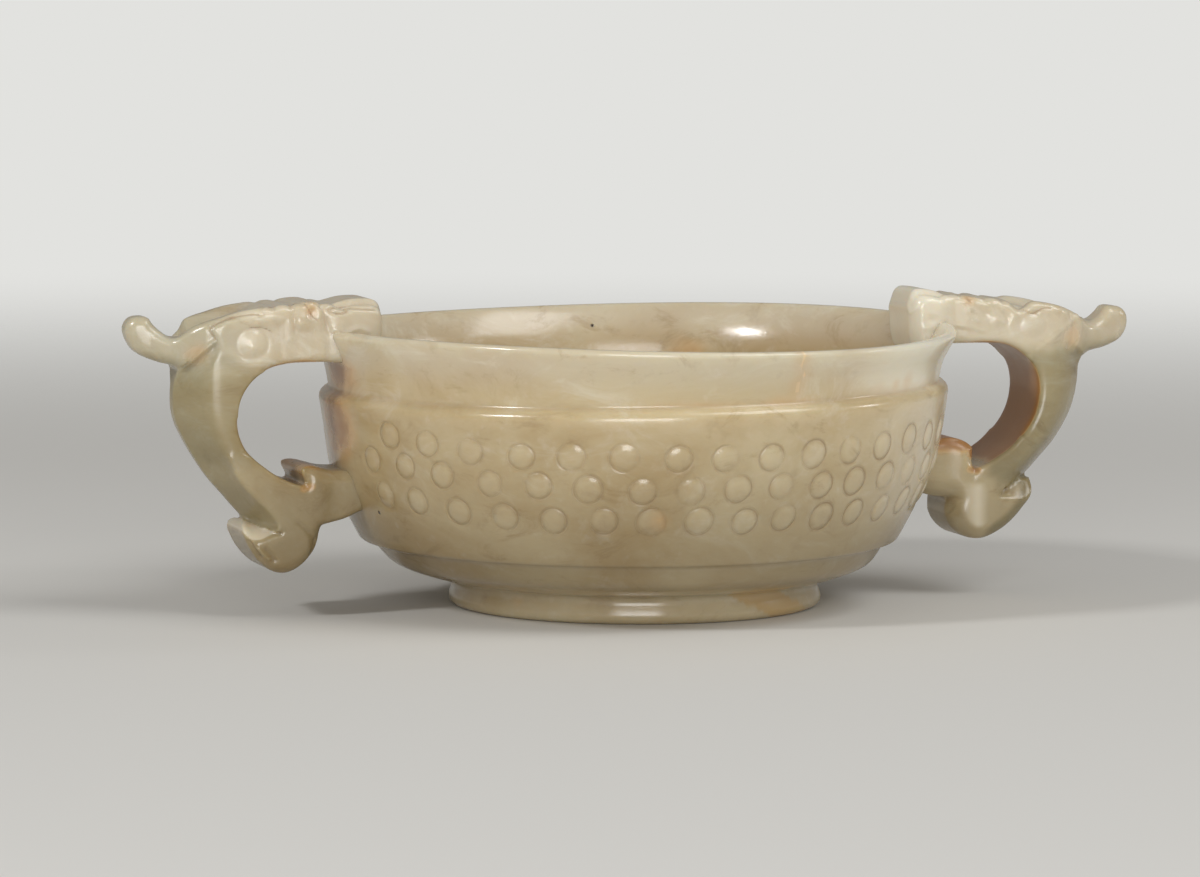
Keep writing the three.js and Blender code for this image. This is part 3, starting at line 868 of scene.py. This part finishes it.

# %% [markdown]
# ## Marks on the handles, and painted light and shade
# Rust fills the finger holes, the stubs' tops and a few hollows of the heads. Painted shade makes the
# bands greener and darker than the heads and darkens parts of the heads and horns. Painted light makes
# the right muzzle, the lower stubs and the flats of the scrolls paler, and a painted highlight
# brightens the hollow under the left scroll's tip.

# %% Marks on the handles, and painted light and shade
HOLE = (43.8, 24.0)
for piece, hand, lines in ((left, -1, left_lines), (right, 1, right_lines)):
    spots = places(piece)
    u, v, z = spots[:, 0] * hand, spots[:, 1] * hand, spots[:, 2]
    side_view = np.column_stack([u, z])
    on_stub, in_hole = (0.75, 0.9) if hand > 0 else (0.5, 0.45)
    hole = ramp(np.hypot(u - HOLE[0], z - HOLE[1]), 8.2, 6.6) * ramp(z, 14.0, 15.5)
    stain = np.maximum.reduce([
        on_stub * ramp(z, 17.2 - 0.4 * hand, 18.9) * ramp(z, 22, 20) * ramp(u, 44.8, 42.8),
        0.6 * swell(away(side_view, [(41.3, 15.7), (42.3, 15.5)]), 0.9),
        in_hole * hole * ramp(np.abs(v), 5.6, 4.9),
        0.45 * swell(np.hypot(u - 41.2, z - 36.6), 1.8),
        0.35 * swell(np.hypot(u - 54.8, z - 31.5), 3.0)])
    over_tip = np.interp(u, *np.transpose(lines["tip"])) - z
    facet = ramp(away(side_view, lines["bevel"], signed=True), -0.7, 0.8) * ramp(over_tip, 0.3, -0.3)
    facet *= ramp(away(side_view, lines["diagonal"], signed=True), 0.4, -0.3)
    if hand > 0:
        rim = away(side_view, joined(right_runs), loop=True)
        # Painted light and shade on the right handle: a paler muzzle, and a darker roof facet, horn and
        # band below the head.
        light_and_shade = 0.7 * ramp(u, 41.0, 36.5) * ramp(z, 29.0, 30.5) - 0.2 * facet
        light_and_shade -= 0.35 * ramp(u, 54.0, 57.0) * ramp(z, 28.5, 30.0) + ramp(z, 32.0, 28.0) * ramp(u, 42.0, 45.0)
        # Painted light: the flat face of the scroll is paler than its shaded sides.
        lit_flat = ramp(rim, 0.9, 2.0) * ramp(z, 16.0, 13.0) * ramp(u, 39.5, 41.5) * ramp(np.abs(v), 4.0, 4.8)
        light_and_shade += table(u, (41.0, 0.3), (44.5, 0.8)) * lit_flat
    else:
        # Painted light and shade on the left handle: a paler stub and scroll, and a darker head, horn, roof
        # facet and band.
        light_and_shade = 0.35 * ramp(z, 20.0, 17.0) - 0.6 * ramp(z, 29.0, 31.0) * ramp(u, 46.0, 54.0)
        light_and_shade -= 0.25 * facet + 0.75 * ramp(z, 32.0, 28.0)
        # A painted highlight in the polished hollow under the scroll's tip.
        in_scoop = ramp(-away(side_view, left_lines["scoop"], signed=True), 0.0, 0.3)
        light_and_shade += 0.9 * in_scoop * (over_tip > 0) * (z < 13) * (u > 45)
    paint(piece, "rust_and_shade", stain)
    paint(piece, "light_and_shade", light_and_shade)
    print(f"{piece.name} rust up to {stain.max():.2f}")

# %% [markdown]
# ## Shader maths
# A mask is easiest to read as a sum, so one small class wraps a socket and lets Python's operators
# add Math nodes. A second class adds every other node from its type, its settings and what its
# sockets hold. Where sockets share a name, in0, in6 and so on name them by their number.


# %% Sockets as numbers
def feed(slot, value):
    """Links a value into a node's slot, or writes a plain number there."""
    if isinstance(value, Value):
        value.tree.links.new(value.socket, slot)
    else:
        slot.default_value = value


class Value:
    def __init__(self, tree, socket):
        self.tree, self.socket = tree, socket

    def math(self, operation, *others):
        node = self.tree.nodes.new("ShaderNodeMath")
        node.operation = operation
        for slot, item in zip(node.inputs, others):
            feed(slot, item)
        return Value(self.tree, node.outputs[0])

    def __abs__(self):
        return self.math("ABSOLUTE", self)


for sign, operation in (("add", "ADD"), ("sub", "SUBTRACT"), ("mul", "MULTIPLY")):
    setattr(Value, f"__{sign}__", lambda one, other, how=operation: one.math(how, one, other))
    setattr(Value, f"__r{sign}__", lambda one, other, how=operation: one.math(how, other, one))
print("operators on sockets:", "+ - * abs")


# %% Nodes from one method
class Shader:
    def __init__(self, owner):
        owner.use_nodes = True
        self.owner, self.tree = owner, owner.node_tree
        self.tree.nodes.clear()

    def node(self, kind, settings=None, out=0, **sockets):
        made = self.tree.nodes.new("ShaderNode" + kind)
        for key, value in (settings or {}).items():
            setattr(made, key, value)
        for key, value in sockets.items():
            feed(made.inputs[int(key[2:]) if key.startswith("in") else key.replace("_", " ")], value)
        return Value(self.tree, made.outputs[out]) if made.outputs else made

    def noise(self, spot, scale, **more):
        return self.node("TexNoise", Vector=spot, Scale=scale, **more)

    def painted(self, name):
        return self.node("Attribute", {"attribute_name": name}, out=2)

    def blend(self, factor, a, b, how="MIX"):
        return self.node("Mix", {"data_type": "RGBA", "blend_type": how}, out=2, in0=factor, in6=a, in7=b)

    def step(self, value, low, high):
        settings = {"interpolation_type": "SMOOTHSTEP"}
        return self.node("MapRange", settings, Value=value, From_Min=low, From_Max=high)


def rgb(*screen):
    """A colour as seen on a screen, turned to the linear values that a shader holds."""
    return tuple(((c / 255 + 0.055) / 1.055) ** 2.4 for c in screen) + (1.0,)


print("middle grey in a shader:", round(rgb(128, 128, 128)[0], 3))

# %% [markdown]
# ## Jade
# Polished nephrite is milky and lets light some way in, so the surface is a clear gloss over a
# pale, warm body. The body is built up in layers: clouds, milky veins that gather near the lip, a
# painted glow of light on the upper neck and lip, mottling, painted shade that darkens the cup towards
# the bottom, the painted light and shade from the mesh, rust where iron has crept in, with painted
# shadow under the handles, and an odd dark pit.

# %% Colours
HONEY, CREAM, MILK = rgb(186, 163, 120), rgb(206, 190, 154), rgb(228, 221, 203)
LIP_GLOW, BROWN_VEIN = rgb(226, 220, 205), rgb(160, 134, 92)
PALE_FLECK, DARK_FLECK = rgb(232, 226, 210), rgb(150, 126, 88)
LOWER_SHADE_GREY, SHADE_GREEN_GREY, LIT_PALE_STONE = rgb(201, 198, 190), rgb(204, 206, 198), rgb(240, 232, 212)
RUST_AND_SHADE_EDGE, RUST_AND_SHADE_DEEP, PIT = rgb(212, 158, 86), rgb(158, 108, 54), rgb(60, 42, 28)
print("honey in a shader:", [round(c, 2) for c in HONEY[:3]])


# %% Jade material
def jade_body(jade, height, spot):
    """The stone's colour, with its veins and flecks, a painted glow near the lip and painted shade low
    down.
    """
    flow = jade.node("Mapping", Vector=spot, Scale=(1.0, 1.0, 1.9), Rotation=(0.3, 0.15, 0.0))
    clouds = jade.noise(flow, 34.0, Detail=6.0, Roughness=0.6, Distortion=0.5)
    veins = jade.noise(flow, 88.0, Detail=8.0, Roughness=0.68, Distortion=1.4)
    mottle = jade.noise(spot, 270.0, Detail=4.0, Roughness=0.6)
    body = jade.blend(jade.step(clouds, 0.34, 0.66), HONEY, CREAM)
    milk = jade.step(veins, 0.5, 0.76) * (0.3 + 0.35 * jade.step(height, 0.024, 0.032))
    body = jade.blend(milk, body, MILK)
    # Painted light: the upper neck and the lip are made paler, standing in for light shining through the
    # thin stone.
    body = jade.blend(jade.step(height, 0.0275, 0.0325) * 0.42, body, LIP_GLOW)
    body = jade.blend(jade.step(veins, 0.46, 0.3) * 0.45, body, BROWN_VEIN)
    body = jade.blend(jade.step(mottle, 0.58, 0.76) * 0.22, body, PALE_FLECK)
    body = jade.blend(jade.step(mottle, 0.42, 0.26) * 0.2, body, DARK_FLECK)
    # Painted shade: the cup is multiplied greyer and darker towards the bottom, less so right at the base.
    low = jade.step(height + 0.004 * clouds, 0.031, 0.007) * (0.35 + 0.65 * jade.step(height, 0.002, 0.005))
    return jade.blend(low, body, LOWER_SHADE_GREY, "MULTIPLY"), veins, mottle


def jade_material(name, carved_lines, gloss):
    """Jade, with the fine cut lines that the function adds and the gloss as its roughness."""
    jade = Shader(bpy.data.materials.new(name))
    spot = jade.node("TexCoord", out=3)
    height = jade.node("SeparateXYZ", out=2, Vector=spot)
    body, veins, mottle = jade_body(jade, height, spot)
    # Painted light and shade from the mesh: below 0 the stone is multiplied greener and darker, above 0 it
    # is made paler.
    light_and_shade = jade.painted("light_and_shade")
    body = jade.blend(jade.step(light_and_shade, 0.0, -1.0), body, SHADE_GREEN_GREY, "MULTIPLY")
    body = jade.blend(jade.step(light_and_shade, 0.0, 1.0), body, LIT_PALE_STONE)
    # Rust, which under the handles also stands for painted shadow of the handles.
    rust_and_shade = jade.step(jade.painted("rust_and_shade") * (0.45 + 1.1 * mottle) + 0.12 * (veins - 0.5), 0.08, 0.8)
    body = jade.blend(rust_and_shade * 0.85, body, jade.blend(jade.step(rust_and_shade, 0.3, 0.9), RUST_AND_SHADE_EDGE, RUST_AND_SHADE_DEEP))
    deep, body, lift = carved_lines(jade, body, mottle, spot)
    pits = jade.node("TexVoronoi", Vector=spot, Scale=105.0)
    chance = jade.noise(spot, 60.0, Detail=0.0)
    pit = jade.step(pits, 0.034, 0.014) * jade.step(chance, 0.52, 0.58)
    body = jade.blend(pit, body, PIT)
    grain = jade.noise(spot, 1500.0)
    relief = 0.55 * lift + 0.35 * mottle + 0.05 * grain - 0.8 * pit
    bump = jade.node("Bump", Strength=0.55, Distance=0.00022, Height=relief)
    shader = jade.node("BsdfPrincipled", Base_Color=body, Normal=bump, IOR=1.61,
                       Roughness=gloss + 0.12 * mottle + 0.3 * deep + 0.12 * rust_and_shade,
                       Subsurface_Weight=0.4, Subsurface_Scale=0.0045, Subsurface_Radius=(1.0, 0.72, 0.42),
                       Coat_Weight=0.12, Coat_Roughness=0.08)
    jade.node("OutputMaterial", Surface=shader)
    print(name, "nodes:", len(jade.tree.nodes))
    return jade.owner


# %% [markdown]
# ## Cut lines in the jade
# The drilled rings hold old residue, darkest on one boss, and the crack has a pale line in a warm
# halo. On the handles only the finest grooves are darkened, with painted shade. Each function gives
# back how deep its grooves are, the colour, and the height for the bump.


# %% Cut lines
def body_lines(jade, body, mottle, spot):
    ring, residue = jade.painted("ring"), jade.painted("residue")
    worn = jade.noise(spot, 210.0)
    groove = jade.step(abs(ring - 1.0), 0.17, 0.0) * jade.step(worn, 0.3, 0.6)
    body = jade.blend(groove * residue, body, rgb(132, 102, 60))
    rusty = jade.step(residue, 0.75, 1.0) * jade.step(worn, 0.48, 0.56)
    body = jade.blend(groove * rusty, body, rgb(70, 36, 16))
    body = jade.blend(jade.step(ring, 1.0, 0.55) * 0.1, body, rgb(226, 216, 190))
    body = jade.blend(jade.painted("amber") * 0.6, body, rgb(192, 158, 100))
    from_crack = jade.painted("crack")
    crack = jade.step(from_crack, 0.32, 0.08)
    body = jade.blend(jade.step(from_crack, 1.9, 0.3) * 0.3, body, rgb(206, 170, 122))
    body = jade.blend(crack * 0.8, body, rgb(232, 204, 164))
    return groove, body, 1.0 - groove - 0.4 * crack


def handle_lines(jade, body, mottle, spot):
    groove = jade.step(jade.painted("engraved"), 0.17, 0.03) * (0.6 + 0.6 * mottle)
    # Painted shade: the finest grooves are darkened.
    body = jade.blend(groove * 0.4, body, rgb(140, 104, 66))
    return groove, body, 1.0 - groove


bowl_jade = jade_material("jade_body", body_lines, 0.14)
handle_jade = jade_material("jade_handles", handle_lines, 0.19)
for piece, stone in ((bowl, bowl_jade), (right, handle_jade), (left, handle_jade)):
    piece.data.materials.clear()
    piece.data.materials.append(stone)

# %% [markdown]
# ## Riding the frame
# The cup is one stone, so all three pieces ride on its one body. Each stands for the CAD nodes that
# it covers.

# %% Riding
for piece, slot, nodes in ((bowl, "jade_bowl", ("bowl", "foot_ring")),
                           (right, "jade_handles", ("right_dragon_head", "right_handle_loop")),
                           (left, "jade_handles", ("left_dragon_head", "left_handle_loop"))):
    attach(piece, "root")
    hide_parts(*nodes)
    print(piece.name, "stands for", nodes)

# %% [markdown]
# ## The studio
# A plain pale floor fades into a pale background. The camera sees that background at its full
# paleness, while it lights the stone only gently, so the carving keeps its shading.

# %% Floor
bpy.ops.object.select_all(action="DESELECT")
bpy.ops.mesh.primitive_plane_add(size=8, location=(0, 0, 0))
floor = bpy.context.object
floor.name = "floor"
ground = Shader(bpy.data.materials.new("pale_floor"))
reach = ground.node("VectorMath", {"operation": "LENGTH"}, out=1, Vector=ground.node("TexCoord", out=3))
paper = ground.node("BsdfPrincipled", Base_Color=rgb(222, 221, 217), Roughness=0.9)
clear = ground.node("BsdfTransparent")
faded = ground.node("MixShader", in0=ground.step(reach, 0.16, 0.62), in1=paper, in2=clear)
ground.node("OutputMaterial", Surface=faded)
floor.data.materials.append(ground.owner)
floor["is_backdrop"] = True
print("floor size in m:", [round(side, 2) for side in floor.dimensions[:2]])

# %% Background
world = bpy.data.worlds.new("studio")
bpy.context.scene.world = world
sky = Shader(world)
seen = sky.node("Background", Color=rgb(226, 226, 223))
soft = sky.node("Background", Color=(1.0, 0.97, 0.93, 1), Strength=0.26)
camera_ray = sky.node("LightPath")
sky.node("OutputWorld", Surface=sky.node("MixShader", in0=camera_ray, in1=soft, in2=seen))
bpy.context.scene.view_settings.view_transform = "Standard"
print("view transform:", bpy.context.scene.view_settings.view_transform)

# %% [markdown]
# ## Lamps
# Four soft square lamps look at the cup. A small one high at the left gives the carving its bright
# edges, a broad one overhead lights the lip and the heads, a broad low one in front fills the belly,
# and a weak small one at the right keeps the far handle from going flat.


# %% Lights
def softbox(name, where, size, power):
    lamp = bpy.data.lights.new(name, "AREA")
    lamp.shape, lamp.size, lamp.energy = "SQUARE", size, power
    stand = bpy.data.objects.new(name, lamp)
    bpy.context.collection.objects.link(stand)
    stand.location = where
    stand.rotation_euler = (Vector((0, 0, 0.02)) - Vector(where)).to_track_quat("-Z", "Y").to_euler()
    print(name, "size in m:", size, "power in W:", power)


softbox("lamp_left", (-0.63, -0.24, 0.5), 0.11, 1.9)
softbox("overhead", (0.36, -0.4, 0.64), 0.42, 2.1)
softbox("low_front", (-0.22, -0.85, 0.14), 0.42, 2.9)
softbox("lamp_right", (0.8, -0.14, 0.34), 0.12, 0.5)

# %% Sizes, and the end
low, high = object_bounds()
print("visual box in mm:", [round(v / MM, 2) for v in (*low, *high)])
